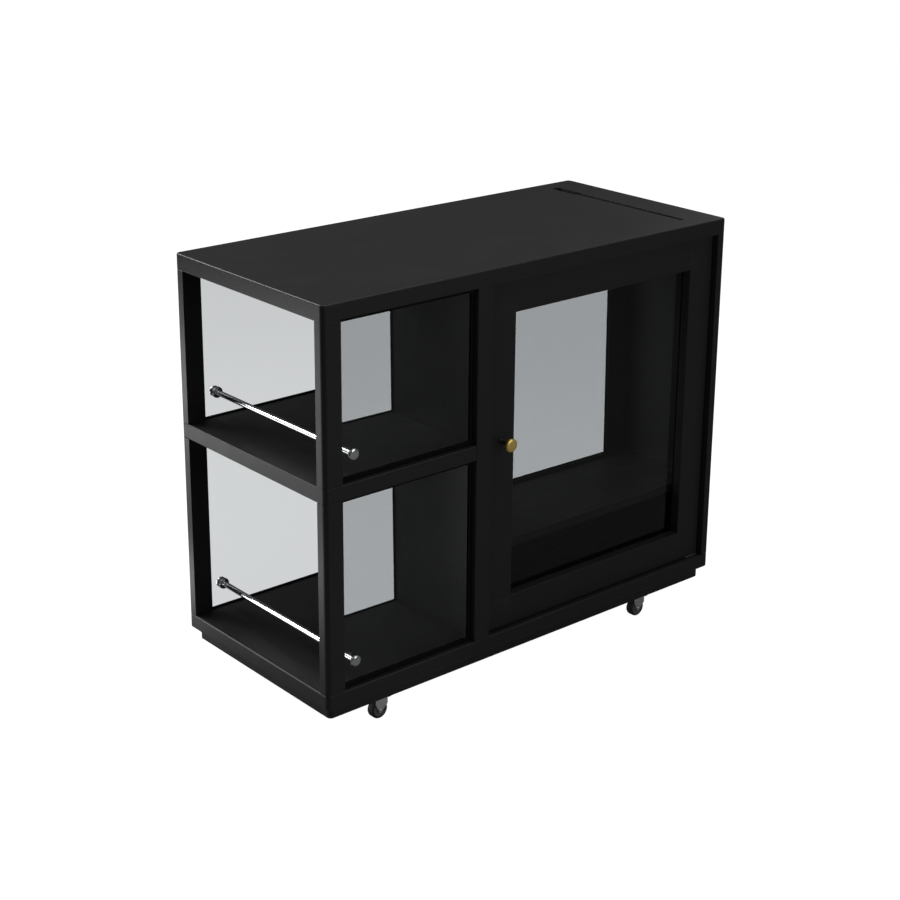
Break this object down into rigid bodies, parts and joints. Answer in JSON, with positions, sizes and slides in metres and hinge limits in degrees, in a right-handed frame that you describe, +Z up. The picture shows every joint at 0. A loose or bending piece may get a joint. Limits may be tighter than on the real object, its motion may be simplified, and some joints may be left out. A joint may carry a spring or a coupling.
{
  "type": "kitchen island cart",
  "caption": "Rolling island cart with open glazed bays, chrome guard rails, a glass-door cabinet, a worktop with a cable hole, and swivel casters.",
  "frame": {"origin": "on the floor, at the middle of the whole object's length and depth, with the knob counted", "axes": "+X along the cart from the open bays to the cabinet, +Y to the back, +Z up"},
  "size_m": [1.1, 0.52, 0.912],
  "materials": {
    "black_lacquer": "satin black lacquer on board",
    "clear_glass": "clear tempered glass with a faint grey tint",
    "black_rubber": "black channel gasket",
    "chrome": "bright chrome plate",
    "brass": "satin brass",
    "zinc_steel": "zinc plated pressed steel",
    "grey_nylon": "moulded nylon",
    "tyre_rubber": "soft black tread on a grey core"
  },
  "bodies": {
    "carcass": {"top_panel": "black_lacquer", "bottom_panel": "black_lacquer", "mid_shelf": "black_lacquer", "divider_panel": "black_lacquer", "side_panel_right": "black_lacquer", "back_stile_right": "black_lacquer", "back_panel_lower": "black_lacquer", "post_front_left_lower": "black_lacquer", "post_back_left_lower": "black_lacquer", "post_front_left_upper": "black_lacquer", "post_back_left_upper": "black_lacquer", "plinth_board": "black_lacquer", "cabinet_shelf": "black_lacquer", "shelf_cleat_left": "black_lacquer", "shelf_cleat_right": "black_lacquer", "pane_front_lower": "clear_glass", "pane_back_lower": "clear_glass", "pane_front_upper": "clear_glass", "pane_back_upper": "clear_glass", "pane_back_cabinet": "clear_glass", "gasket_front_lower": "black_rubber", "gasket_back_lower": "black_rubber", "gasket_front_upper": "black_rubber", "gasket_back_upper": "black_rubber", "gasket_back_cabinet": "black_rubber", "guard_rail_lower": "chrome", "guard_rail_upper": "chrome", "rail_cap_front_lower": "chrome", "rail_cap_back_lower": "chrome", "rail_cap_front_upper": "chrome", "rail_cap_back_upper": "chrome", "pivot_plate_top": "zinc_steel", "pivot_plate_bottom": "zinc_steel", "catch_magnet": "grey_nylon", "caster_plate_front_left": "zinc_steel", "caster_plate_front_right": "zinc_steel", "caster_plate_back_left": "zinc_steel", "caster_plate_back_right": "zinc_steel"},
    "door": {"door_stile_latch": "black_lacquer", "door_stile_hinge": "black_lacquer", "door_rail_bottom": "black_lacquer", "door_rail_top": "black_lacquer", "door_pane": "clear_glass", "door_bead": "black_rubber", "door_knob": "brass", "pivot_bush_top": "brass", "pivot_bush_bottom": "brass", "catch_strike": "zinc_steel"},
    "swivel_front_left": {"caster_fork_front_left": "zinc_steel", "caster_axle_front_left": "zinc_steel"},
    "wheel_front_left": {"caster_wheel_front_left": "tyre_rubber"},
    "swivel_front_right": {"caster_fork_front_right": "zinc_steel", "caster_axle_front_right": "zinc_steel"},
    "wheel_front_right": {"caster_wheel_front_right": "tyre_rubber"},
    "swivel_back_left": {"caster_fork_back_left": "zinc_steel", "caster_axle_back_left": "zinc_steel"},
    "wheel_back_left": {"caster_wheel_back_left": "tyre_rubber"},
    "swivel_back_right": {"caster_fork_back_right": "zinc_steel", "caster_axle_back_right": "zinc_steel"},
    "wheel_back_right": {"caster_wheel_back_right": "tyre_rubber"}
  },
  "joints": [
    {"name": "door_swing", "type": "hinge", "parent": "carcass", "child": "door", "pos_m": [0.513, -0.217, 0.496], "axis": [0, 0, 1], "range_deg": [0, 100]},
    {"name": "caster_swivel_front_left", "type": "hinge", "parent": "carcass", "child": "swivel_front_left", "pos_m": [-0.375, -0.195, 0.045], "axis": [0, 0, 1], "continuous": true},
    {"name": "wheel_roll_front_left", "type": "hinge", "parent": "swivel_front_left", "child": "wheel_front_left", "pos_m": [-0.394, -0.195, 0.02], "axis": [0, 1, 0], "continuous": true},
    {"name": "caster_swivel_front_right", "type": "hinge", "parent": "carcass", "child": "swivel_front_right", "pos_m": [0.375, -0.195, 0.045], "axis": [0, 0, 1], "continuous": true},
    {"name": "wheel_roll_front_right", "type": "hinge", "parent": "swivel_front_right", "child": "wheel_front_right", "pos_m": [0.356, -0.195, 0.02], "axis": [0, 1, 0], "continuous": true},
    {"name": "caster_swivel_back_left", "type": "hinge", "parent": "carcass", "child": "swivel_back_left", "pos_m": [-0.375, 0.217, 0.045], "axis": [0, 0, 1], "continuous": true},
    {"name": "wheel_roll_back_left", "type": "hinge", "parent": "swivel_back_left", "child": "wheel_back_left", "pos_m": [-0.394, 0.217, 0.02], "axis": [0, 1, 0], "continuous": true},
    {"name": "caster_swivel_back_right", "type": "hinge", "parent": "carcass", "child": "swivel_back_right", "pos_m": [0.375, 0.217, 0.045], "axis": [0, 0, 1], "continuous": true},
    {"name": "wheel_roll_back_right", "type": "hinge", "parent": "swivel_back_right", "child": "wheel_back_right", "pos_m": [0.356, 0.217, 0.02], "axis": [0, 1, 0], "continuous": true}
  ]
}
